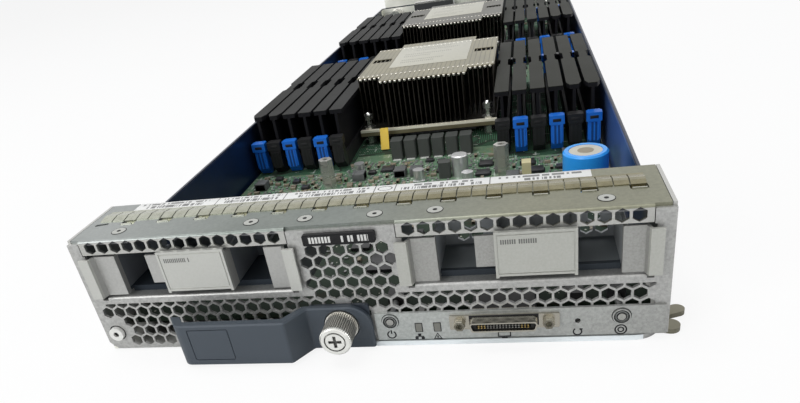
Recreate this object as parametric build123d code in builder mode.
from build123d import *
import os
from math import cos, hypot, pi, radians, sin, sqrt, tan

os.makedirs("parts", exist_ok=True)

# Half-width blade server with its top cover off.
# X runs to the right, Y to the rear and Z up. The origin is the centre of the floor's underside.
# Lengths are millimetres. Depths named "..._y" are measured back from the front face.

# ---------------------------------------------------------------- driving dimensions
body_width = 203.0
body_depth = 620.0
roof_top = 47.1
wall_height = 33.0
sheet = 1.2
panel_sheet = 1.2
roof_depth = 31.3
rear_wall_half_width = 97.0

slide_gap = 0.1          # flat parts that slide past each other
pin_clearance = 0.05     # radial, pins and shafts in their holes
part_gap = 0.3           # curved or moving parts that must not touch

# Floor recess that the ejector arm lies in
arm_thickness = 1.8
arm_bottom = 0.15
recess_left_x = -24.0
recess_depth = 34.0

# Motherboard
board_bottom = 5.0
board_thickness = 2.0
board_front_y = 12.0
board_rear_margin = 8.0
board_side_gap = 2.4
board_boss_r = 3.2

# Hexagonal vents
hex_pitch = 4.85
hex_flats = 4.1
hex_first_row_z = 17.2
hex_offset_x = 0.4
vent_top_z = 21.0
vent_half_width = 98.7
centre_vent_half_width = 17.6

# Drive bays and their blanks
bay_inner_x = 19.3
bay_outer_x = 96.3
bay_floor_z = 23.8
ledge_depth = 9.0
strip_bottom_z = 41.5
strip_height_gap = 0.3
strip_inner_x = 18.6
strip_outer_x = 96.0
strip_shift = -0.8
blank_centre_x = 57.6
blank_half_width = 40.6
blank_depth = 24.0
blank_sheet = 1.0

# Front input/output panel
io_left_x = 6.0
io_right_x = 100.3
io_top_z = 13.3
io_sheet = 1.0
power_x = 11.2
power_z = 10.1
locator_x = 87.0
locator_z = 9.6
reset_x = 73.5
reset_z = 8.2
lamp_x = (20.9, 27.3)
lamp_z = 7.3
console_x = 49.75
console_z = 9.85
jackscrew_spacing = 29.1
jackscrew_z = 9.2

# Ejector lever
pivot_x = 91.0
pivot_y = 8.0
pivot_r = 2.5
knob_x = -5.5
knob_z = 10.7
knob_r = 5.5
screw_r = 2.0
knob_travel = 3.0

# Memory banks
memory_pitch = 9.4
memory_first_x = 46.3
memory_per_bank = 6
module_length = 133.35
blank_top_z = 39.0
cap_width = 7.6
cap_thickness = 2.4
web_thickness = 1.6
front_bank_y = 173.0
rear_bank_y = 386.0
latch_height = 19.2
latch_width = 6.3
latch_head_width = 7.8

# Processor coolers
cooler_half_width = 41.5
cooler_length = 106.0
front_cooler_y = 203.0
rear_cooler_y = 381.0
cooler_top_z = 45.0
cooler_base_z = 12.5
cooler_base_thickness = 4.0
fin_pitch = 2.9
fin_thickness = 0.5
fin_setback = 12.0
fin_centre_half_width = 26.0
cooler_screw_x = 36.5
cooler_screw_inset = 5.5

# ---------------------------------------------------------------- values worked out from them
half_width = body_width / 2
roof_under = roof_top - sheet
inner_half_width = half_width - sheet
arm_top = arm_bottom + arm_thickness
recess_top = arm_top + slide_gap
shelf_top = recess_top + sheet
board_top = board_bottom + board_thickness
board_half_width = inner_half_width - board_side_gap
board_rear_y = body_depth - board_rear_margin
row_pitch = hex_pitch * sqrt(3) / 2


def at(y):
    """Y coordinate of a point that lies y behind the front face."""
    return y - body_depth / 2


def front_plane(y):
    """Upright plane y behind the front face, drawn in X and Z. Extrude negative to go back."""
    return Plane.XZ.offset(-at(y))


def side_plane(x):
    """Upright plane at x, drawn in Y and Z. Extrude positive to go right."""
    return Plane.YZ.offset(x)


def top_plane(z):
    """Level plane at height z, drawn in X and Y."""
    return Plane.XY.offset(z)


def block(x, y, z, mode=Mode.ADD):
    """Box between the given pairs of x, y and z, y measured back from the front face."""
    with Locations((sum(x) / 2, at(sum(y) / 2), sum(z) / 2)):
        Box(x[1] - x[0], y[1] - y[0], z[1] - z[0], mode=mode)


def post(x, y, z, radius, mode=Mode.ADD):
    """Upright cylinder between two heights."""
    with Locations((x, at(y), sum(z) / 2)):
        Cylinder(radius, z[1] - z[0], mode=mode)


def barrel(x, z, y, radius, mode=Mode.ADD):
    """Cylinder along Y between two depths."""
    with Locations((x, at(sum(y) / 2), z)):
        Cylinder(radius, y[1] - y[0], rotation=(90, 0, 0), mode=mode)


def band(points, thickness):
    """Closed outline of a bent sheet that follows the points with mitred corners."""
    count = len(points)
    normals = []
    for (x0, y0), (x1, y1) in zip(points, points[1:]):
        run = hypot(x1 - x0, y1 - y0)
        normals.append((-(y1 - y0) / run, (x1 - x0) / run))
    sides = []
    for half in (thickness / 2, -thickness / 2):
        edge = []
        for i in range(count):
            before = normals[max(i - 1, 0)]
            after = normals[min(i, count - 2)]
            share = half / (1 + before[0] * after[0] + before[1] * after[1])
            mitre = ((before[0] + after[0]) * share, (before[1] + after[1]) * share)
            edge.append((points[i][0] + mitre[0], points[i][1] + mitre[1]))
        sides.append(edge)
    return sides[0] + sides[1][::-1]


def write(piece, name):
    """Label a finished piece and write its STEP file."""
    piece.part.label = name
    export_step(piece.part, f"parts/{name}.step")


# ================================================================ chassis sheet metal
# ---- base tray: floor, side walls and the recess for the ejector arm
board_boss_spots = [(x, y) for x in (-90, 90) for y in (42, 345, 560)] + [(0, 90), (0, 345)]
rear_socket_x = 84.0
rear_socket_z = 24.0
rear_socket_r = 7.0
power_slot_x = (-62.0, -18.0)
signal_slot_x = (14.0, 66.0)
rear_slot_z = (13.0, 35.0)

with BuildPart() as base_tray:
    with BuildSketch(front_plane(panel_sheet)):
        with BuildLine():
            Polyline(
                (-half_width, 0), (half_width, 0), (half_width, wall_height),
                (inner_half_width, wall_height), (inner_half_width, sheet),
                (-inner_half_width, sheet), (-inner_half_width, wall_height),
                (-half_width, wall_height), close=True,
            )
        make_face()
    extrude(amount=-(body_depth - sheet - panel_sheet))
    for side in (-1, 1):
        wall_x = sorted((side * inner_half_width, side * half_width))
        block(wall_x, (panel_sheet, roof_depth), (wall_height, roof_top))
    # floor joggled up at the front right, open to the side for the lever's fork
    block((recess_left_x, half_width), (0, recess_depth), (0, recess_top), Mode.SUBTRACT)
    block((recess_left_x, inner_half_width), (panel_sheet, recess_depth), (recess_top, shelf_top))
    block((recess_left_x - sheet, recess_left_x), (panel_sheet, recess_depth + sheet), (0, shelf_top))
    block((recess_left_x, half_width), (recess_depth, recess_depth + sheet), (0, shelf_top))
    post(pivot_x, pivot_y, (recess_top, shelf_top), pivot_r, Mode.SUBTRACT)
    # bosses that carry the motherboard
    for x, y in board_boss_spots:
        post(x, y, (sheet, board_bottom), board_boss_r)
write(base_tray, "base_tray")

# ---- full-height rear wall with the connector slots and the holes for the guide sockets
with BuildPart() as rear_wall:
    with BuildSketch(front_plane(body_depth)):
        with BuildLine():
            Polyline(
                (-half_width, 0), (half_width, 0), (half_width, wall_height),
                (rear_wall_half_width, wall_height), (rear_wall_half_width, roof_top),
                (-rear_wall_half_width, roof_top), (-rear_wall_half_width, wall_height),
                (-half_width, wall_height), close=True,
            )
        make_face()
        for slot in (power_slot_x, signal_slot_x):
            with Locations((sum(slot) / 2, sum(rear_slot_z) / 2)):
                Rectangle(slot[1] - slot[0], rear_slot_z[1] - rear_slot_z[0], mode=Mode.SUBTRACT)
        with Locations((-rear_socket_x, rear_socket_z), (rear_socket_x, rear_socket_z)):
            Circle(rear_socket_r + part_gap, mode=Mode.SUBTRACT)
    extrude(amount=sheet)
    # folded stiffening lip along its top
    block((-rear_wall_half_width, rear_wall_half_width), (body_depth - 9, body_depth), (roof_under, roof_top))
write(rear_wall, "rear_wall")

# ---- front panel: one stamped sheet with both bay openings and the hexagonal vents
corner_screw_x = -96.1
corner_screw_z = 8.2
corner_screw_r = 2.8
nut_r = 4.0
hex_radius = hex_flats / sqrt(3)
lower_left_end_x = io_left_x - 3.0


def vent_row(row):
    """Centres of one row of vent holes across the whole panel."""
    z = hex_first_row_z + row * row_pitch
    shift = hex_offset_x + (hex_pitch / 2 if row % 2 else 0)
    steps = int(vent_half_width / hex_pitch) + 1
    spots = [(shift + i * hex_pitch, z) for i in range(-steps, steps + 1)]
    return [spot for spot in spots if abs(spot[0]) + hex_flats / 2 <= vent_half_width]


def clear_of_fittings(spot):
    """True where a hole leaves metal round the corner screw and the lock nut."""
    fittings = ((corner_screw_x, corner_screw_z, corner_screw_r), (knob_x, knob_z, nut_r))
    return all(hypot(spot[0] - x, spot[1] - z) > r + hex_radius + 0.6 for x, z, r in fittings)


whole_holes = [s for s in vent_row(0) if clear_of_fittings(s)]
whole_holes += [s for s in vent_row(-1) if s[0] > io_left_x + 4]
for row in (1, 2, 3, 4, 5):
    whole_holes += [s for s in vent_row(row) if abs(s[0]) + hex_flats / 2 <= centre_vent_half_width]
for row in (-1, -2, -3):
    whole_holes += [s for s in vent_row(row) if s[0] < lower_left_end_x and clear_of_fittings(s)]
top_cut_holes = [s for s in vent_row(1) if abs(s[0]) + hex_flats / 2 > centre_vent_half_width]

with BuildSketch() as top_cut:
    with Locations(*top_cut_holes):
        RegularPolygon(hex_radius, 6, rotation=30)
    with Locations((0, vent_top_z - hex_flats)):
        Rectangle(2 * body_width, 2 * hex_flats, mode=Mode.INTERSECT)

panel_left_bottom = 0.8
io_window_x = (io_left_x + 2, io_right_x - 4)
io_window_z = (recess_top + 1.2, io_top_z - slide_gap)
post_width = half_width - bay_outer_x
strip_left_x = (-strip_outer_x + strip_shift, -strip_inner_x + strip_shift)
strip_right_x = (strip_inner_x + strip_shift, strip_outer_x + strip_shift)
tag_slot_x = (-10.4, 8.4)
tag_thickness = 0.8
tag_z = 42.6
notch_width = 2.2

with BuildPart() as front_panel:
    with BuildSketch(front_plane(0)):
        with BuildLine():
            Polyline(
                (-half_width, panel_left_bottom + 3), (-half_width + 3, panel_left_bottom),
                (recess_left_x, panel_left_bottom), (recess_left_x, recess_top),
                (half_width, recess_top), (half_width, roof_under),
                (strip_right_x[1] + strip_height_gap, roof_under),
                (strip_right_x[1] + strip_height_gap, strip_bottom_z - 0.5),
                (bay_outer_x, strip_bottom_z - 0.5), (bay_outer_x, bay_floor_z),
                (bay_inner_x, bay_floor_z), (bay_inner_x, strip_bottom_z - strip_height_gap),
                (strip_right_x[0] - strip_height_gap, strip_bottom_z - strip_height_gap),
                (strip_right_x[0] - strip_height_gap, roof_under),
                (strip_left_x[1] + strip_height_gap, roof_under),
                (strip_left_x[1] + strip_height_gap, strip_bottom_z - strip_height_gap),
                (-bay_inner_x, strip_bottom_z - strip_height_gap),
                (-bay_inner_x, bay_floor_z), (-bay_outer_x, bay_floor_z),
                (-bay_outer_x, strip_bottom_z - 0.5), (strip_left_x[0] - strip_height_gap, strip_bottom_z - 0.5),
                (strip_left_x[0] - strip_height_gap, roof_under), (-half_width, roof_under),
                close=True,
            )
        make_face()
        with Locations(*whole_holes):
            RegularPolygon(hex_radius, 6, rotation=30, mode=Mode.SUBTRACT)
        add(top_cut.sketch, mode=Mode.SUBTRACT)
        with Locations((sum(io_window_x) / 2, sum(io_window_z) / 2)):
            Rectangle(io_window_x[1] - io_window_x[0], io_window_z[1] - io_window_z[0], mode=Mode.SUBTRACT)
        with Locations((corner_screw_x, corner_screw_z)):
            Circle(corner_screw_r - 1.0, mode=Mode.SUBTRACT)
        with Locations((knob_x, knob_z)):
            Circle(nut_r + pin_clearance, mode=Mode.SUBTRACT)
        with Locations((sum(tag_slot_x) / 2, tag_z)):
            Rectangle(tag_slot_x[1] - tag_slot_x[0], tag_thickness + 2 * part_gap, mode=Mode.SUBTRACT)
        for side in (-1, 1):
            for x in (bay_inner_x + notch_width / 2, bay_outer_x - notch_width / 2):
                with Locations((side * x, bay_floor_z - 0.5)):
                    Rectangle(notch_width, 1.4, mode=Mode.SUBTRACT)
    extrude(amount=-panel_sheet)
    # folded ledge along the bottom of each bay opening
    for side in (-1, 1):
        ledge_x = sorted((side * (bay_inner_x + notch_width), side * (bay_outer_x - notch_width)))
        block(ledge_x, (0, ledge_depth), (bay_floor_z - panel_sheet, bay_floor_z))
    ledge_edges = front_panel.edges().filter_by(Axis.X).filter_by_position(Axis.Y, at(0) - 0.01, at(0) + 0.01)
    fillet(ledge_edges.filter_by_position(Axis.Z, bay_floor_z - 0.01, bay_floor_z + 0.01), 0.9)
write(front_panel, "front_panel")

# ---- front roof: top sheet with the two perforated strips folded down over the bays
gasket_pitch = 4.92
gasket_fingers = 39
roof_gap = 0.2
gasket_front_y = 16.2
gasket_rear_y = 24.4
gasket_slot_y = (12.6, 15.8)
gasket_centre_x = -0.7
gasket_tab_step = 3
gasket_tab_width = 4.9
strip_hole_pitch = 4.95
strip_hole_count = 15
strip_hole_z = 44.2
gasket_half_length = gasket_fingers * gasket_pitch / 2


def finger_x(index):
    """Centre of one gasket finger, counted from the left."""
    return gasket_centre_x + (index - (gasket_fingers - 1) / 2) * gasket_pitch


gasket_tab_x = [finger_x(i) for i in range(2, gasket_fingers, gasket_tab_step)]

with BuildPart() as front_roof:
    with BuildSketch(top_plane(roof_under)):
        with Locations((0, at(roof_depth / 2))):
            Rectangle(2 * (inner_half_width - roof_gap), roof_depth)
        with Locations((sum((strip_left_x[1], strip_right_x[0])) / 2, at(0))):
            Rectangle(strip_right_x[0] - strip_left_x[1], 2 * panel_sheet, mode=Mode.SUBTRACT)
        for side in (-1, 1):
            with Locations((side * half_width, at(0))):
                Rectangle(2 * (half_width - strip_outer_x - side * strip_shift), 2 * panel_sheet, mode=Mode.SUBTRACT)
        with Locations(*[(x, at(sum(gasket_slot_y) / 2)) for x in gasket_tab_x]):
            Rectangle(gasket_tab_width + 0.6, gasket_slot_y[1] - gasket_slot_y[0], mode=Mode.SUBTRACT)
        with Locations((-94.9, at(23.6)), (-94.9, at(13.6))):
            SlotOverall(5.2, 1.6, rotation=12, mode=Mode.SUBTRACT)
    extrude(amount=sheet)
    with BuildSketch(front_plane(0)):
        for strip in (strip_left_x, strip_right_x):
            with Locations((sum(strip) / 2, (strip_bottom_z + roof_top) / 2)):
                Rectangle(strip[1] - strip[0], roof_top - strip_bottom_z)
        for strip in (strip_left_x, strip_right_x):
            with Locations((sum(strip) / 2, strip_hole_z)):
                with GridLocations(strip_hole_pitch, 1, strip_hole_count, 1):
                    RegularPolygon(hex_radius, 6, rotation=30, mode=Mode.SUBTRACT)
    extrude(amount=-panel_sheet)
    bend_edges = front_roof.edges().filter_by(Axis.X).filter_by_position(Axis.Y, at(0) - 0.01, at(0) + 0.01)
    fillet(bend_edges.filter_by_position(Axis.Z, roof_top - 0.01, roof_top + 0.01), 1.0)
write(front_roof, "front_roof")

bracket_sheet = 1.0
bracket_under = roof_under - bracket_sheet

# ---- bay brackets under the roof
centre_bracket_x = 17.0
bracket_front_y = panel_sheet
bracket_rear_y = 29.0
tag_shelf_z = (tag_z - tag_thickness / 2 - 1.1, tag_z - tag_thickness / 2 - slide_gap)

with BuildPart() as centre_bay_bracket:
    with BuildSketch(front_plane(bracket_front_y)):
        with Locations((0, (bracket_under + roof_under) / 2)):
            Rectangle(74, bracket_sheet)
        for side in (-1, 1):
            with Locations((side * centre_bracket_x, (bay_floor_z + roof_under) / 2)):
                Rectangle(bracket_sheet, roof_under - bay_floor_z)
        with Locations((0, sum(tag_shelf_z) / 2)):
            Rectangle(2 * centre_bracket_x, tag_shelf_z[1] - tag_shelf_z[0])
    extrude(amount=-(bracket_rear_y - bracket_front_y))
write(centre_bay_bracket, "centre_bay_bracket")


outer_bracket_x = bay_outer_x + bracket_sheet / 2 + 0.6
outer_flange_x = 88.0

with BuildPart() as outer_bay_brackets:
    with BuildSketch(front_plane(bracket_front_y)):
        for side in (-1, 1):
            with Locations((side * outer_bracket_x, (bay_floor_z - 3 + roof_under) / 2)):
                Rectangle(bracket_sheet, roof_under - bay_floor_z + 3)
            with Locations((side * outer_flange_x, (bracket_under + roof_under) / 2)):
                Rectangle(2 * (outer_bracket_x - outer_flange_x) + bracket_sheet, bracket_sheet)
    extrude(amount=-(bracket_rear_y - bracket_front_y))
write(outer_bay_brackets, "outer_bay_brackets")

# ---- spring-finger grounding strip on the roof, hooked into the roof's slots
gasket_sheet = 0.3
gasket_rise = 0.9
hook_drop = 0.7

with BuildPart() as grounding_strip:
    with BuildSketch(side_plane(gasket_centre_x - gasket_half_length)):
        with BuildLine():
            rail_y = gasket_rear_y - 1.3
            top = [
                (gasket_front_y - 0.6, gasket_sheet), ((gasket_front_y + rail_y) / 2, gasket_rise),
                (rail_y, gasket_sheet), (gasket_rear_y, gasket_sheet),
            ]
            under = [(y, z - gasket_sheet) for y, z in top[::-1]]
            Polyline(*[(at(y), roof_top + z) for y, z in top + under], close=True)
        make_face()
    extrude(amount=2 * gasket_half_length)
    slit_depth = rail_y - gasket_front_y + 1.2
    with Locations((gasket_centre_x, at(gasket_front_y - 0.7 + slit_depth / 2), roof_top + gasket_rise / 2)):
        with GridLocations(gasket_pitch, 1, gasket_fingers - 1, 1):
            Box(0.4, slit_depth, 2 * gasket_rise, mode=Mode.SUBTRACT)
    # hooks: down behind each slot's rear edge, forward through it and up at its front edge
    hook_front = gasket_slot_y[0]
    hook_rear = gasket_slot_y[1]
    hook = [
        (hook_rear, gasket_sheet), (hook_rear, -hook_drop - gasket_sheet), (hook_front, -hook_drop - gasket_sheet),
        (hook_front, 0.35), (hook_front + 0.5, 0.35), (hook_front + 0.5, -hook_drop),
        (hook_rear - gasket_sheet, -hook_drop), (hook_rear - gasket_sheet, gasket_sheet),
    ]
    for x in gasket_tab_x:
        with BuildSketch(side_plane(x - gasket_tab_width / 2 + 0.25)):
            with BuildLine():
                Polyline(*[(at(y), roof_top + z) for y, z in hook], close=True)
            make_face()
        extrude(amount=gasket_tab_width - 0.5)
write(grounding_strip, "grounding_strip")

# ---- corner screw at the lower left of the panel
with BuildPart() as corner_screw:
    barrel(corner_screw_x, corner_screw_z, (-1.5, 0), corner_screw_r)
    barrel(corner_screw_x, corner_screw_z, (0, 4), corner_screw_r - 1.0 - pin_clearance)
    with BuildSketch(front_plane(-1.5)):
        with Locations((corner_screw_x, corner_screw_z)):
            RegularPolygon(1.2, 6)
    extrude(amount=-0.9, mode=Mode.SUBTRACT)
write(corner_screw, "corner_screw")

# ---- insulating films on the inside of the side walls
film = 0.3
film_y = (36.0, 606.0)
film_z = (sheet + 0.4, wall_height - 0.6)
with BuildPart() as wall_films:
    for side in (-1, 1):
        film_x = sorted((side * inner_half_width, side * (inner_half_width - film)))
        block(film_x, film_y, film_z)
write(wall_films, "wall_films")

# ================================================================ drive blanks
leaf_z = (24.6, 40.4)
clip_front_y = -2.2
leaf_front_y = 0.6
pad_front_y = -2.5
pad_z = (26.8, 42.2)
pad_width = 25.0
pad_shift = 3.4
mid_leaf_width = 6.2
leaf_widths = (8.2, 6.7)
formed_depth = 3.0
pan_front_y = 4.6
pan_floor_z = (25.1, 26.0)
clip_width = 3.6


def leaf_end(centre, side):
    """X where the inner edge of the left or right leaf turns back."""
    width = leaf_widths[0] if side < 0 else leaf_widths[1]
    return centre + side * (blank_half_width - clip_width - width - 0.6)


def blank_face(centre):
    """Formed light front of a drive blank: clips and leaves at both ends and the raised pad."""
    pad_x = (centre + pad_shift - pad_width / 2, centre + pad_shift + pad_width / 2)
    wall_z = (leaf_z[0] + 1.6, leaf_z[1])
    with BuildPart() as face:
        for side in (-1, 1):
            edge = centre + side * blank_half_width
            bend = edge - side * clip_width
            turn = leaf_end(centre, side)
            middle = [
                (edge, at(clip_front_y + blank_sheet / 2)), (bend, at(clip_front_y + blank_sheet / 2)),
                (bend - side * 1.0, at(leaf_front_y + blank_sheet / 2)),
                (turn, at(leaf_front_y + blank_sheet / 2)), (turn, at(formed_depth)),
            ]
            with BuildSketch(top_plane(leaf_z[0])):
                with BuildLine():
                    Polyline(*band(middle, blank_sheet), close=True)
                make_face()
            extrude(amount=leaf_z[1] - leaf_z[0])
        # raised pad with short side walls and a fine border line, and the leaf on its left
        block(pad_x, (pad_front_y, pad_front_y + 1.4), pad_z)
        block((pad_x[0], pad_x[0] + 1), (pad_front_y, formed_depth), wall_z)
        block((pad_x[1] - 1, pad_x[1]), (pad_front_y, formed_depth), wall_z)
        block((pad_x[0] - mid_leaf_width, pad_x[0]), (leaf_front_y - 0.4, leaf_front_y + 0.6), (29.2, 40.2))
        with BuildSketch(front_plane(pad_front_y)):
            with Locations((sum(pad_x) / 2, sum(pad_z) / 2)):
                Rectangle(pad_width - 1.6, pad_z[1] - pad_z[0] - 1.6)
                Rectangle(pad_width - 2.3, pad_z[1] - pad_z[0] - 2.3, mode=Mode.SUBTRACT)
        extrude(amount=-0.25, mode=Mode.SUBTRACT)
    return face


def blank_tray(centre):
    """Dark pan behind the front: side walls, floor with a folded front lip and a perforated back."""
    ends = (leaf_end(centre, -1), leaf_end(centre, 1))
    pad_x = (centre + pad_shift - pad_width / 2, centre + pad_shift + pad_width / 2)
    half = blank_sheet / 2
    rows = [leaf_z[0] + 5.2 + i * row_pitch for i in range(3)]
    vents = []
    for window in ((ends[0], pad_x[0]), (pad_x[1], ends[1])):
        middle = sum(window) / 2
        for i, z in enumerate(rows):
            count = 2 if i % 2 == 0 else 1
            vents += [(middle + (k - (count - 1) / 2) * hex_pitch, z) for k in range(count)]
    with BuildPart() as tray:
        block((ends[0] - half, ends[1] + half), (pan_front_y, blank_depth), pan_floor_z)
        block((ends[0] + half, ends[1] - half), (pan_front_y, pan_front_y + 0.9), (bay_floor_z, pan_floor_z[1]))
        block((ends[0] - half, ends[1] + half), (blank_depth - 1.2, blank_depth), (pan_floor_z[0], leaf_z[1]))
        for x in ends:
            block((x - half, x + half), (formed_depth, blank_depth), (pan_floor_z[0], leaf_z[1]))
        for x in (pad_x[0] + half, pad_x[1] - half):
            block((x - half, x + half), (formed_depth, blank_depth), (pan_floor_z[1], leaf_z[1]))
        with BuildSketch(front_plane(blank_depth - 1.2)):
            with Locations(*vents):
                RegularPolygon(hex_radius, 6, rotation=30)
        extrude(amount=-1.3, mode=Mode.SUBTRACT)
    return tray


for side, word in ((-1, "left"), (1, "right")):
    write(blank_face(side * blank_centre_x), f"blank_face_{word}")
    write(blank_tray(side * blank_centre_x), f"blank_tray_{word}")

# ---- asset tag that pulls out between the bays
with BuildPart() as asset_tag:
    tag_x = (tag_slot_x[0] + part_gap, tag_slot_x[1] - part_gap)
    block(tag_x, (-0.2, 27.0), (tag_z - tag_thickness / 2, tag_z + tag_thickness / 2))
    block((-13.2, 11.2), (-1.6, -0.2), (tag_z - 1.7, tag_z + 2.3))
    fillet(asset_tag.edges().filter_by(Axis.Y).group_by(SortBy.LENGTH)[0], 0.7)
write(asset_tag, "asset_tag")

# ================================================================ front input/output panel
button_r = 2.2
button_ring_r = 2.8
button_travel = 1.0
reset_hole_r = 0.9
reset_pin_r = 0.6
lamp_size = (2.1, 3.2)
shell_top_half = 11.2
shell_bottom_half = 10.4
shell_height = 3.6
shell_wall = 0.5
shell_front_y = -6.2
bezel_thickness = 0.8
jackscrew_x = (console_x - jackscrew_spacing / 2, console_x + jackscrew_spacing / 2)
jack_thread_r = 1.1


def shell_outline(grow):
    """D-shaped connector outline, wider at the top, about the connector's centre."""
    high = shell_height / 2 + grow
    return [
        (console_x - shell_top_half - grow, console_z + high),
        (console_x - shell_bottom_half - grow, console_z - high),
        (console_x + shell_bottom_half + grow, console_z - high),
        (console_x + shell_top_half + grow, console_z + high),
    ]


def dee(grow, corner):
    """Face of the D-shaped outline with rounded corners."""
    with BuildSketch() as face:
        with BuildLine():
            Polyline(*shell_outline(grow), close=True)
        make_face()
        fillet(face.vertices(), corner)
    return face.sketch


shell_outer = dee(0, 1.1)
shell_inner = dee(-shell_wall, 0.7)
shell_hole = dee(0.2, 1.3)

with BuildPart() as io_panel:
    with BuildSketch(front_plane(0)):
        with Locations(((io_left_x + io_right_x) / 2, (recess_top + io_top_z) / 2)):
            Rectangle(io_right_x - io_left_x, io_top_z - recess_top)
        add(shell_hole, mode=Mode.SUBTRACT)
        with Locations((power_x, power_z), (locator_x, locator_z)):
            Circle(button_r + pin_clearance, mode=Mode.SUBTRACT)
        with Locations((reset_x, reset_z)):
            Circle(reset_hole_r, mode=Mode.SUBTRACT)
        with Locations(*[(x, lamp_z) for x in lamp_x]):
            Rectangle(lamp_size[0] + 2 * pin_clearance, lamp_size[1] + 2 * pin_clearance, mode=Mode.SUBTRACT)
    extrude(amount=io_sheet)
    with BuildSketch(front_plane(-io_sheet)):
        with Locations((power_x, power_z), (locator_x, locator_z)):
            Circle(button_ring_r)
            Circle(button_r + pin_clearance, mode=Mode.SUBTRACT)
    extrude(amount=0.6)
    low_edge = io_panel.edges().filter_by(Axis.X).group_by(Axis.Z)[0].sort_by(Axis.Y)[0]
    fillet(low_edge, 0.8)
write(io_panel, "io_panel")


def round_button(x, z, tip_y):
    """Turned push button: cap, retaining flange behind the panel and stem."""
    profile = [
        (0, tip_y), (button_r - 0.4, tip_y), (button_r, tip_y + 0.4), (button_r, 0.2),
        (button_r + 0.8, 0.2), (button_r + 0.8, 1.0), (1.2, 1.0), (1.2, stem_end_y), (0, stem_end_y),
    ]
    with BuildPart() as button:
        with BuildSketch(Plane.XY):
            with BuildLine():
                Polyline(*profile, close=True)
            make_face()
        revolve(axis=Axis.Y)
    placed = Pos(x, at(0), z) * button.part
    with BuildPart() as finished:
        add(placed)
    return finished


switch_y = (board_front_y + 0.4, board_front_y + 6.0)
stem_end_y = switch_y[0] - button_travel - 0.2
write(round_button(power_x, power_z, -1.5), "power_button")
write(round_button(locator_x, locator_z, -1.5), "locator_button")

with BuildPart() as reset_plunger:
    barrel(reset_x, reset_z, (-0.4, stem_end_y), reset_pin_r)
    barrel(reset_x, reset_z, (0.3, 1.0), 1.5)
write(reset_plunger, "reset_plunger")

with BuildPart() as push_switches:
    for x, z in ((power_x, power_z), (locator_x, locator_z), (reset_x, reset_z)):
        block((x - 3, x + 3), switch_y, (board_top, z + 2.4))
write(push_switches, "push_switches")

with BuildPart() as light_pipes:
    for x in lamp_x:
        half = lamp_size[0] / 2
        block((x - half, x + half), (-io_sheet - 0.15, board_front_y - part_gap), (lamp_z - 1.6, lamp_z + 1.6))
write(light_pipes, "light_pipes")

# ---- console port: plated shell, moulded insert, bezel plate and two jackscrews
with BuildPart() as console_shell:
    with BuildSketch(front_plane(shell_front_y)):
        add(shell_outer)
        add(shell_inner, mode=Mode.SUBTRACT)
    extrude(amount=shell_front_y - 3.0)
write(console_shell, "console_shell")

tongue_half = 7.6
with BuildPart() as console_insert:
    with BuildSketch(front_plane(3.0)):
        add(dee(-0.05, 1.05))
    extrude(amount=-(board_front_y - part_gap - 3.0))
    block((console_x - 10, console_x + 10), (board_front_y - 1, board_front_y + 5), (board_top, console_z))
    with BuildSketch(front_plane(3.0)):
        add(dee(-shell_wall - 0.1, 0.6))
        with Locations((console_x, console_z)):
            Rectangle(2 * tongue_half + 2.4, 1.5, mode=Mode.SUBTRACT)
    extrude(amount=8.2)
    block((console_x - tongue_half, console_x + tongue_half), (shell_front_y + 1.0, 3.0), (console_z - 0.3, console_z + 0.3))
write(console_insert, "console_insert")

with BuildPart() as console_bezel:
    with BuildSketch(front_plane(-io_sheet)):
        with Locations((console_x, jackscrew_z)):
            RectangleRounded(jackscrew_spacing + 7.0, 5.4, 0.5)
        add(shell_hole, mode=Mode.SUBTRACT)
        with Locations(*[(x, jackscrew_z) for x in jackscrew_x]):
            Circle(jack_thread_r + 0.2, mode=Mode.SUBTRACT)
    extrude(amount=bezel_thickness)
write(console_bezel, "console_bezel")

jack_front_y = -io_sheet - bezel_thickness - 2.6
with BuildPart() as jackscrews:
    with BuildSketch(front_plane(-io_sheet - bezel_thickness)):
        with Locations(*[(x, jackscrew_z) for x in jackscrew_x]):
            RegularPolygon(1.9, 6)
    extrude(amount=2.6)
    for x in jackscrew_x:
        barrel(x, jackscrew_z, (jack_front_y, -io_sheet - bezel_thickness), jack_thread_r, Mode.SUBTRACT)
write(jackscrews, "jackscrews")

# ================================================================ ejector lever
# ---- steel arm: flat bar under the front edge, hub, two-pronged fork and upturned tab
arm_front_y = -1.2
arm_back_y = 6.2
arm_left_x = -20.0
hub_r = pivot_y - arm_front_y
tab_y = (-1.5, -0.3)
tab_x = (-17.2, 4.6)
tab_top = 17.7
knob_hole_r = 6.3
fork_rear = (106.8, 14.2, 2.5)
fork_front = (103.1, 4.8, 3.1)


def prong(tip):
    """Rounded prong from the hub out to the given tip centre and radius."""
    run = (tip[0] - pivot_x, tip[1] - pivot_y)
    length = hypot(*run)
    across = (-run[1] / length * tip[2], run[0] / length * tip[2])
    with BuildSketch() as face:
        with BuildLine():
            Polyline(
                (pivot_x + across[0], at(pivot_y) + across[1]), (tip[0] + across[0], at(tip[1]) + across[1]),
                (tip[0] - across[0], at(tip[1]) - across[1]), (pivot_x - across[0], at(pivot_y) - across[1]),
                close=True,
            )
        make_face()
        with Locations((tip[0], at(tip[1]))):
            Circle(tip[2])
    return face.sketch


fork_prongs = [prong(fork_rear), prong(fork_front)]

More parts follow.
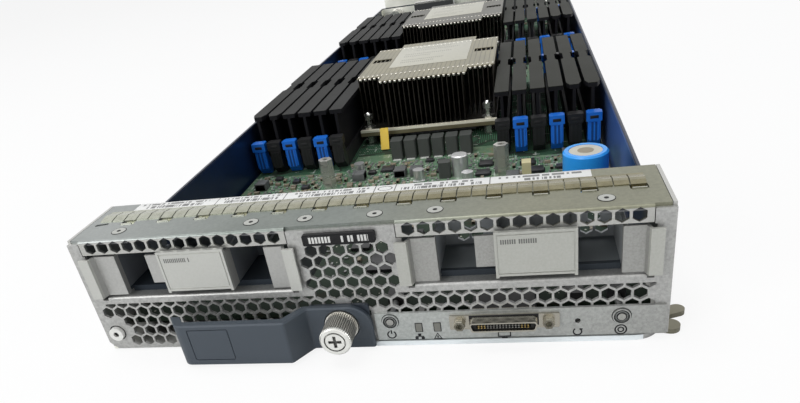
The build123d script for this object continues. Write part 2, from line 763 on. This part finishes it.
with BuildPart() as ejector_arm:
    with BuildSketch(top_plane(arm_bottom)):
        with Locations(((arm_left_x + pivot_x) / 2, at((arm_front_y + arm_back_y) / 2))):
            Rectangle(pivot_x - arm_left_x, arm_back_y - arm_front_y)
        with Locations((pivot_x, at(pivot_y))):
            Circle(hub_r)
        for shape in fork_prongs:
            add(shape)
        with Locations((pivot_x, at(pivot_y))):
            Circle(pivot_r + pin_clearance, mode=Mode.SUBTRACT)
    extrude(amount=arm_thickness)
    with Locations((pivot_x, at(pivot_y), arm_bottom + 0.4)):
        Cone(pivot_r + 1.6, pivot_r + pin_clearance, 0.8, mode=Mode.SUBTRACT)
    with BuildSketch(front_plane(tab_y[1])):
        with Locations((sum(tab_x) / 2, (arm_bottom + tab_top) / 2)):
            RectangleRounded(tab_x[1] - tab_x[0], tab_top - arm_bottom, 1.0)
        with Locations((knob_x, knob_z)):
            Circle(knob_hole_r, mode=Mode.SUBTRACT)
    extrude(amount=tab_y[1] - tab_y[0])
write(ejector_arm, "ejector_arm")

with BuildPart() as lever_pivot_pin:
    post(pivot_x, pivot_y, (arm_bottom, shelf_top), pivot_r)
    with Locations((pivot_x, at(pivot_y), arm_bottom + 0.4)):
        Cone(pivot_r + 1.5, pivot_r, 0.8)
    post(pivot_x, pivot_y, (shelf_top, shelf_top + 1.2), pivot_r + 1.6)
write(lever_pivot_pin, "lever_pivot_pin")

# ---- moulded handle: paddle standing off the panel, joggle and the plate round the knob
paddle_front_y = -12.0
paddle_wall = 3.0
plate_front_y = -3.4
handle_left_x = -63.4
handle_end_x = -68.0
handle_end_y = -5.4
joggle_x = (-22.8, -17.0)
handle_right_x = 5.2
handle_z = (1.3, 17.8)

with BuildPart() as lever_handle:
    with BuildSketch(top_plane(handle_z[0])):
        with BuildLine():
            Polyline(*[(x, at(y)) for x, y in (
                (handle_end_x, handle_end_y), (handle_left_x, paddle_front_y), (joggle_x[0], paddle_front_y),
                (joggle_x[1], plate_front_y), (handle_right_x, plate_front_y), (handle_right_x, tab_y[0]),
                (joggle_x[1] - 1.8, tab_y[0]), (joggle_x[0] - 1.8, paddle_front_y + paddle_wall),
                (handle_left_x + 1.8, paddle_front_y + paddle_wall), (handle_end_x + 3.6, handle_end_y),
            )], close=True)
        make_face()
    extrude(amount=handle_z[1] - handle_z[0])
    upright = lever_handle.edges().filter_by(Axis.Z)
    corner = upright.filter_by_position(Axis.X, handle_left_x - 0.1, handle_left_x + 0.1)
    fillet(corner.sort_by(Axis.Y)[0], 4.0)
    bends = lever_handle.edges().filter_by(Axis.Z).filter_by_position(Axis.X, joggle_x[0] - 2, joggle_x[1] + 0.1)
    fillet(bends, 1.4)
    # right end rounded down, hole for the knob and the bare square recess on the paddle
    with BuildSketch(front_plane(tab_y[0] + 1)):
        with Locations((handle_right_x - 4, handle_z[1] - 4)):
            Rectangle(8, 8)
        with Locations((handle_right_x - 8, handle_z[1] - 8)):
            Circle(8, mode=Mode.SUBTRACT)
        with Locations((knob_x, knob_z)):
            Circle(knob_hole_r)
    extrude(amount=8, mode=Mode.SUBTRACT)
    with BuildSketch(front_plane(paddle_front_y)):
        with Locations((-51.5, 9.75)):
            RectangleRounded(15.6, 12.9, 0.8)
            RectangleRounded(15.0, 12.3, 0.5, mode=Mode.SUBTRACT)
    extrude(amount=-0.35, mode=Mode.SUBTRACT)
    rim = lever_handle.edges().filter_by_position(Axis.Z, handle_z[1] - 0.01, handle_z[1] + 0.01)
    chamfer(rim.filter_by_position(Axis.Y, at(paddle_front_y) - 0.1, at(paddle_front_y) + 0.1), 0.5)
write(lever_handle, "lever_handle")

# ---- captive thumbscrew: knurled knob with its screw, captive washer and lock nut in the panel
knob_front_y = -13.5
washer_y = (-3.9, -3.2)
screw_tip_y = -0.25
cross_width = 1.1
cross_length = 4.6

with BuildPart() as thumbscrew:
    barrel(knob_x, knob_z, (knob_front_y, washer_y[0]), knob_r)
    chamfer(thumbscrew.edges().group_by(Axis.Y)[0], 0.6)
    barrel(knob_x, knob_z, (washer_y[0], screw_tip_y), screw_r)
    with BuildSketch(front_plane(knob_front_y)):
        with Locations((knob_x, knob_z)):
            Circle(3.7)
            Circle(3.3, mode=Mode.SUBTRACT)
            Rectangle(cross_length, cross_width)
            Rectangle(cross_width, cross_length)
    extrude(amount=-0.8, mode=Mode.SUBTRACT)
write(thumbscrew, "thumbscrew")

with BuildPart() as captive_washer:
    barrel(knob_x, knob_z, washer_y, knob_r + 0.4)
    barrel(knob_x, knob_z, washer_y, screw_r + pin_clearance, Mode.SUBTRACT)
write(captive_washer, "captive_washer")

with BuildPart() as lock_nut:
    barrel(knob_x, knob_z, (0.1, 6.0), nut_r)
    barrel(knob_x, knob_z, (panel_sheet, panel_sheet + 1.0), nut_r + 2.0)
    barrel(knob_x, knob_z, (0.1, 6.0), screw_r + pin_clearance, Mode.SUBTRACT)
write(lock_nut, "lock_nut")

# ================================================================ motherboard and what stands on it
with BuildPart() as motherboard:
    block((-board_half_width, board_half_width), (board_front_y, board_rear_y), (board_bottom, board_top))
write(motherboard, "motherboard")

# ---- memory banks: sockets, blanks and the latches at both ends
socket_top = board_top + 7.5
groove_floor = board_top + 2.5
latch_gap = 2.0
latch_depth = 6.6
latch_pivot_inset = 2.4
latch_pivot_height = 2.5
latch_foot_z = board_top + part_gap
latch_top_z = board_top + latch_height
banks = (("front_left", -1, front_bank_y), ("front_right", 1, front_bank_y),
         ("rear_left", -1, rear_bank_y), ("rear_right", 1, rear_bank_y))


def memory_x(side):
    """Centre lines of one bank's modules, from the middle of the board outwards."""
    return [side * (memory_first_x + i * memory_pitch) for i in range(memory_per_bank)]


with BuildPart() as memory_sockets:
    for name, side, start in banks:
        for x in memory_x(side):
            with BuildSketch(front_plane(start - 1.6)):
                with BuildLine():
                    Polyline(*[(x + dx, z) for dx, z in (
                        (-3.2, board_top), (3.2, board_top), (2.6, socket_top), (0.95, socket_top),
                        (0.95, groove_floor), (-0.95, groove_floor), (-0.95, socket_top), (-2.6, socket_top),
                    )], close=True)
                make_face()
            extrude(amount=-(module_length + 3.2))
write(memory_sockets, "memory_sockets")


def memory_blanks(side, start):
    """Six air-blocking blanks: a web in the socket under a broad cap with waisted sides."""
    with BuildPart() as blanks:
        for i, x in enumerate(memory_x(side)):
            block((x - web_thickness / 2, x + web_thickness / 2), (start, start + module_length), (groove_floor, blank_top_z - cap_thickness))
            half = cap_width / 2
            taper = 1.6
            near = taper if i >= 4 else 0.3
            waist = 1.5
            near_y = start + 0.8
            far_y = start + module_length - 0.8
            waist_y = (start + 61, start + 77)
            right = [(half - near, near_y), (half, near_y + 3 * near), (half, waist_y[0]),
                     (half - waist, waist_y[0] + 2), (half - waist, waist_y[1]), (half, waist_y[1] + 2), (half, far_y)]
            outline = [(x + dx, at(y)) for dx, y in right] + [(x - dx, at(y)) for dx, y in right[::-1]]
            with BuildSketch(top_plane(blank_top_z - cap_thickness)):
                with BuildLine():
                    Polyline(*outline, close=True)
                make_face()
            extrude(amount=cap_thickness)
    return blanks


def memory_latches(side, start, end):
    """Six rockers at one end of a bank, each with a broad head and a foot that clears the board."""
    near = start - latch_gap if end < 0 else start + module_length + latch_gap
    outer = near + end * latch_depth
    foot = near + end * latch_pivot_inset
    profile = [
        (near, latch_foot_z + 1.0), (foot - end * 1.2, latch_foot_z), (foot + end * 0.4, latch_foot_z),
        (outer, latch_foot_z + 4.6), (outer, latch_top_z), (near + end * 1.2, latch_top_z),
        (near + end * 2.2, latch_top_z - 5.0), (near, socket_top),
    ]
    head_y = sorted((outer + end * 0.6, outer - end * 4.2))
    with BuildPart() as latches:
        for x in memory_x(side):
            with BuildSketch(side_plane(x - latch_width / 2)):
                with BuildLine():
                    Polyline(*[(at(y), z) for y, z in profile], close=True)
                make_face()
            extrude(amount=latch_width)
            block((x - latch_head_width / 2, x + latch_head_width / 2), head_y, (latch_top_z - 4.6, latch_top_z))
    return latches


for name, side, start in banks:
    write(memory_blanks(side, start), f"memory_blanks_{name}")
    write(memory_latches(side, start, -1), f"latches_{name}_near")
    write(memory_latches(side, start, 1), f"latches_{name}_far")

# ---- processors: socket frame, cooler and its captive screws
screw_post_r = 2.6
cooler_slot_x = (27.5, 39.5)
cooler_slot_y = (53.0, 62.0)


def cooler_screw_spots(start):
    """The four captive screws of one cooler."""
    ends = (start + cooler_screw_inset, start + cooler_length - cooler_screw_inset)
    return [(side * cooler_screw_x, y) for side in (-1, 1) for y in ends]


with BuildPart() as processor_sockets:
    for start in (front_cooler_y, rear_cooler_y):
        middle = start + cooler_length / 2
        block((-28, 28), (middle - 38, middle + 38), (board_top, board_top + 2.6))
        block((-22, 22), (middle - 30, middle + 30), (board_top + 2.6, cooler_base_z))
write(processor_sockets, "processor_sockets")


def cooler(start):
    """Base plate with upright fins, the middle ones reaching further forward and back."""
    base_top = cooler_base_z + cooler_base_thickness
    fins_y = (start + fin_setback, start + cooler_length - fin_setback)
    count = int(2 * (cooler_half_width - fin_thickness) / fin_pitch) + 1
    with BuildPart() as heatsink:
        block((-cooler_half_width, cooler_half_width), (start, start + cooler_length), (cooler_base_z, base_top))
        for i in range(count):
            x = (i - (count - 1) / 2) * fin_pitch
            reach = fin_setback - 0.8 if abs(x) < fin_centre_half_width else 0
            block((x - fin_thickness / 2, x + fin_thickness / 2), (fins_y[0] - reach, fins_y[1] + reach), (base_top, cooler_top_z - 0.4))
        with BuildSketch(top_plane(cooler_top_z - 0.4)):
            with Locations((0, at(sum(fins_y) / 2))):
                Rectangle(2 * cooler_half_width, fins_y[1] - fins_y[0])
                Rectangle(2 * fin_centre_half_width, cooler_length - 1.6)
            for side in (-1, 1):
                with Locations((side * sum(cooler_slot_x) / 2, at(start + sum(cooler_slot_y) / 2))):
                    Rectangle(cooler_slot_x[1] - cooler_slot_x[0], cooler_slot_y[1] - cooler_slot_y[0], mode=Mode.SUBTRACT)
        extrude(amount=0.4)
        for x, y in cooler_screw_spots(start):
            post(x, y, (cooler_base_z, base_top), screw_post_r + part_gap, Mode.SUBTRACT)
    return heatsink


write(cooler(front_cooler_y), "cooler_front")
write(cooler(rear_cooler_y), "cooler_rear")

# board posts with the captive hexagon screws that clamp the coolers
with BuildPart() as cooler_screws:
    base_top = cooler_base_z + cooler_base_thickness
    spots = [(x, at(y)) for x, y in cooler_screw_spots(front_cooler_y) + cooler_screw_spots(rear_cooler_y)]
    for radius, low, high in (
        (screw_post_r + 0.4, board_top, cooler_base_z - slide_gap),
        (screw_post_r, cooler_base_z - slide_gap, base_top),
        (screw_post_r + 1.2, base_top, base_top + 1.0),
        (1.7, base_top + 1.0, base_top + 5.4),
        (2.9, base_top + 5.4, base_top + 8.4),
    ):
        with BuildSketch(top_plane(low)):
            with Locations(*spots):
                RegularPolygon(radius, 6)
        extrude(amount=high - low)
write(cooler_screws, "cooler_screws")

# ---- yellow carrier tab that slopes down in front of the front cooler
with BuildPart() as carrier_tab:
    with BuildSketch(side_plane(-27.5)):
        with BuildLine():
            lean = [(at(front_cooler_y - 12.0), board_top + 0.6), (at(front_cooler_y - 7.0), board_top + 12.2)]
            Polyline(*band(lean, 1.0), close=True)
        make_face()
    extrude(amount=5.0)
write(carrier_tab, "carrier_tab")

# ---- power parts and capacitors in front of the cooler
with BuildPart() as power_chokes:
    for i in range(6):
        x = -14.4 + i * 7.92
        block((x - 3.3, x + 3.3), (172.0, 181.0), (board_top, board_top + 10.9))
    block((13.4, 19.6), (137.0, 143.0), (board_top, board_top + 8.5))
    chamfer(power_chokes.edges().filter_by(Axis.Z), 0.6)
write(power_chokes, "power_chokes")

with BuildPart() as can_capacitor:
    post(24.5, 140.0, (board_top, board_top + 11.5), 4.3)
    chamfer(can_capacitor.edges().group_by(Axis.Z)[-1], 0.5)
write(can_capacitor, "can_capacitor")

sleeve_x = 84.8
sleeve_y = 112.5
sleeve_r = 10.2
sleeve_top = 25.0
with BuildPart() as sleeved_capacitor:
    post(sleeve_x, sleeve_y, (board_top, sleeve_top), sleeve_r)
    chamfer(sleeved_capacitor.edges().group_by(Axis.Z)[-1], 0.8)
    post(sleeve_x, sleeve_y, (sleeve_top - 0.5, sleeve_top), 7.6, Mode.SUBTRACT)
write(sleeved_capacitor, "sleeved_capacitor")

standoff_spots = [(-46.0, 137.0), (46.0, 137.0)]
standoff_top = 23.0
standoff_thread_r = 1.25
standoff_thread_depth = 8.0
with BuildPart() as card_standoffs:
    with BuildSketch(top_plane(board_top)):
        with Locations(*[(x, at(y)) for x, y in standoff_spots]):
            RegularPolygon(3.75, 6)
    extrude(amount=standoff_top - board_top)
    for x, y in standoff_spots:
        post(x, y, (standoff_top - standoff_thread_depth, standoff_top), standoff_thread_r, Mode.SUBTRACT)
write(card_standoffs, "card_standoffs")

with BuildPart() as pin_headers:
    block((56.0, 60.4), (122.0, 128.0), (board_top, board_top + 10.5))
    block((-8.0, 2.0), (96.0, 104.0), (board_top, board_top + 5.0))
write(pin_headers, "pin_headers")

# ================================================================ rear input/output
adapter_z = 21.0
adapter_x = (-94.0, -8.0)
adapter_y = (541.0, 598.0)
adapter_posts = [(x, y) for x in (adapter_x[0] + 6, adapter_x[1] - 6) for y in (adapter_y[0] + 6, adapter_y[1] - 6)]
with BuildPart() as adapter_card:
    block(adapter_x, adapter_y, (adapter_z, adapter_z + 1.6))
    block((-70, -32), (550, 588), (adapter_z + 1.6, adapter_z + 3.4))
    for x, y in adapter_posts:
        post(x, y, (board_top, adapter_z), 2.8)
write(adapter_card, "adapter_card")

connector_front_y = 596.0
with BuildPart() as power_connector:
    inset = 0.5
    block((power_slot_x[0] + inset, power_slot_x[1] - inset), (601.0, body_depth), (rear_slot_z[0] + inset, 20.4))
    block((power_slot_x[0] + inset, power_slot_x[1] - inset), (605.0, body_depth), (20.4, rear_slot_z[1] - inset))
    block((power_slot_x[0] + inset, power_slot_x[1] - inset), (601.0, 611.5), (board_top, rear_slot_z[0] + inset))
    with Locations((sum(power_slot_x) / 2, at(body_depth - 3.5), sum(rear_slot_z) / 2)):
        with GridLocations(6.8, 1, 6, 1):
            Box(1.6, 7.1, 15, mode=Mode.SUBTRACT)
write(power_connector, "power_connector")

with BuildPart() as signal_connector:
    block((signal_slot_x[0] + inset, signal_slot_x[1] - inset), (connector_front_y, body_depth), (rear_slot_z[0] + inset, rear_slot_z[1] - inset))
    block((signal_slot_x[0] + inset, signal_slot_x[1] - inset), (connector_front_y, 611.5), (board_top, rear_slot_z[0] + inset))
    with Locations((sum(signal_slot_x) / 2, at(body_depth - 3.5), sum(rear_slot_z) / 2)):
        with GridLocations(5.6, 1, 8, 1):
            Box(1.8, 7.1, 17, mode=Mode.SUBTRACT)
write(signal_connector, "signal_connector")

guide_bore_r = 4.1
guide_length = 18.0
with BuildPart() as guide_sockets:
    for x in (-rear_socket_x, rear_socket_x):
        barrel(x, rear_socket_z, (body_depth - guide_length, body_depth), rear_socket_r)
        barrel(x, rear_socket_z, (body_depth - guide_length, body_depth), guide_bore_r, Mode.SUBTRACT)
        block((x - 3, x + 3), (body_depth - guide_length, body_depth - board_rear_margin), (board_top, rear_socket_z - 5.5))
write(guide_sockets, "guide_sockets")
